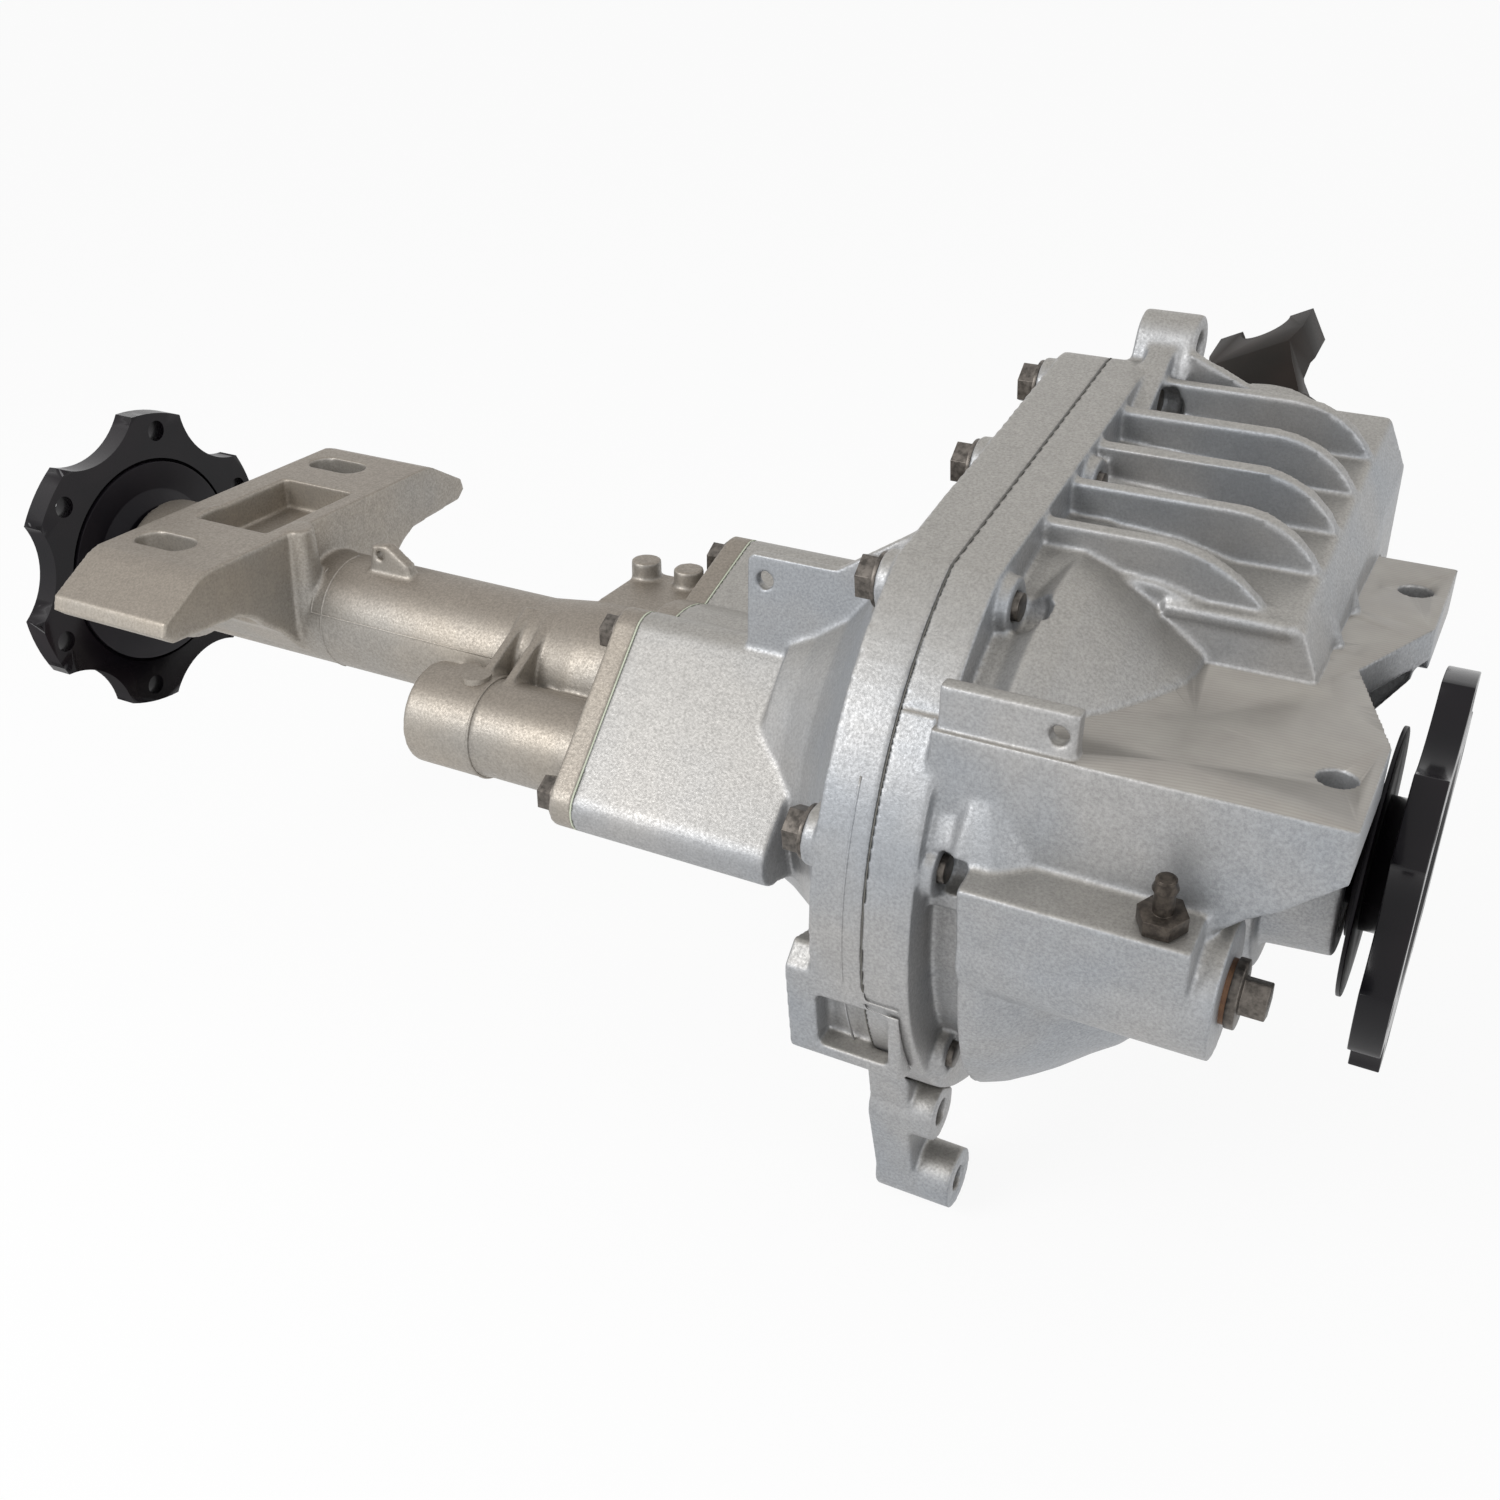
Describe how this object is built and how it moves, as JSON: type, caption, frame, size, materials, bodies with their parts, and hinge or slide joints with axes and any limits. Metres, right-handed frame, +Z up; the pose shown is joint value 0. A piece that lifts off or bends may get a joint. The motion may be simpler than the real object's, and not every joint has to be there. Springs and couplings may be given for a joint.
{
  "type": "front drive axle assembly",
  "caption": "Independent front drive axle: two-piece cast carrier with ribbed pinion nose, cast axle tube with mounting bracket, and bolted output flanges.",
  "frame": {"origin": "centre of the outer face of the short-side output flange, on the axle line", "axes": "+X out of the short-side flange along the axle, +Y towards the propeller shaft, +Z up"},
  "size_m": [0.744, 0.5031, 0.388],
  "materials": {
    "cast_aluminium": "blasted as-cast",
    "sealant": "cured silicone",
    "gasket": "fibre gasket",
    "bolt_steel": "dark phosphate",
    "vent_steel": "dark oxide",
    "copper": "soft copper",
    "black_enamel": "gloss black enamel",
    "yoke_coating": "dark brown-black coating",
    "pressed_steel": "plain pressed",
    "seal_rubber": "moulded",
    "bronze": "machined",
    "case_iron": "as-cast",
    "gear_steel": "ground",
    "bearing_steel": "polished"
  },
  "bodies": {
    "housing": {"case_right": "cast_aluminium", "case_left": "cast_aluminium", "axle_tube": "cast_aluminium", "case_gasket": "sealant", "tube_gasket": "gasket", "case_bolts": "bolt_steel", "tube_bolts": "bolt_steel", "dowels": "gear_steel", "vent_fitting": "vent_steel", "fill_plug": "bolt_steel", "fill_washer": "copper", "pinion_inner_cup": "bearing_steel", "pinion_outer_cup": "bearing_steel", "pinion_seal": "seal_rubber", "right_bearing_cup": "bearing_steel", "left_bearing_cup": "bearing_steel", "right_adjuster": "case_iron", "left_adjuster": "case_iron", "short_seal": "seal_rubber", "short_shaft_bearing": "bearing_steel", "inner_shaft_bearing": "bearing_steel", "long_seal": "seal_rubber", "long_bearing": "bearing_steel", "hub_bearing": "bearing_steel"},
    "differential": {"diff_case": "case_iron", "cross_shaft": "gear_steel", "lock_pin": "bolt_steel", "ring_gear": "gear_steel", "ring_bolts": "bolt_steel", "right_bearing_cone": "bearing_steel", "left_bearing_cone": "bearing_steel", "side_washers": "bronze", "spider_washer_a": "bronze", "spider_washer_b": "bronze"},
    "pinion": {"pinion_gear": "gear_steel", "pinion_inner_cone": "bearing_steel", "pinion_outer_cone": "bearing_steel", "crush_sleeve": "gear_steel", "yoke": "yoke_coating", "yoke_deflector": "pressed_steel", "pinion_washer": "gear_steel", "pinion_nut": "bolt_steel"},
    "short_output": {"short_output_shaft": "black_enamel", "short_slinger": "pressed_steel", "side_gear_right": "gear_steel"},
    "inner_output": {"inner_shaft": "gear_steel", "side_gear_left": "gear_steel"},
    "spider_a": {"spider_gear_a": "gear_steel"},
    "spider_b": {"spider_gear_b": "gear_steel"},
    "shifter": {"shift_fork": "case_iron", "fork_rod": "gear_steel", "return_spring": "gear_steel"},
    "collar": {"shift_collar": "gear_steel"},
    "long_output": {"long_output_shaft": "black_enamel", "long_slinger": "pressed_steel", "pilot_bearing": "bronze"}
  },
  "joints": [
    {"name": "case_spin", "type": "hinge", "parent": "housing", "child": "differential", "pos_m": [0, 0, 0], "axis": [1, 0, 0], "continuous": true},
    {"name": "pinion_spin", "type": "hinge", "parent": "housing", "child": "pinion", "pos_m": [-0.138, -0.00647, 0.03745], "axis": [0, 0.9854, 0.1702], "continuous": true},
    {"name": "diff_action", "type": "hinge", "parent": "differential", "child": "short_output", "pos_m": [-0.138, 0, 0], "axis": [1, 0, 0], "continuous": true},
    {"name": "inner_spin", "type": "hinge", "parent": "differential", "child": "inner_output", "pos_m": [-0.138, 0, 0], "axis": [1, 0, 0], "continuous": true},
    {"name": "spider_a_spin", "type": "hinge", "parent": "differential", "child": "spider_a", "pos_m": [-0.138, 0, 0], "axis": [0, 0, 1], "continuous": true},
    {"name": "spider_b_spin", "type": "hinge", "parent": "differential", "child": "spider_b", "pos_m": [-0.138, 0, 0], "axis": [0, 0, 1], "continuous": true},
    {"name": "fork_slide", "type": "slide", "parent": "housing", "child": "shifter", "axis": [-1, 0, 0], "range_m": [0, 0.016]},
    {"name": "collar_slide", "type": "slide", "parent": "inner_output", "child": "collar", "axis": [-1, 0, 0], "range_m": [0, 0.016]},
    {"name": "long_output_spin", "type": "hinge", "parent": "housing", "child": "long_output", "pos_m": [-0.5, 0, 0], "axis": [1, 0, 0], "continuous": true}
  ],
  "couplings": [
    {"joint": "pinion_spin", "follows": "case_spin", "ratio": 3.7273},
    {"joint": "inner_spin", "follows": "diff_action", "ratio": -1},
    {"joint": "spider_a_spin", "follows": "diff_action", "ratio": -1.6},
    {"joint": "spider_b_spin", "follows": "diff_action", "ratio": 1.6},
    {"joint": "collar_slide", "follows": "fork_slide", "ratio": 1}
  ]
}
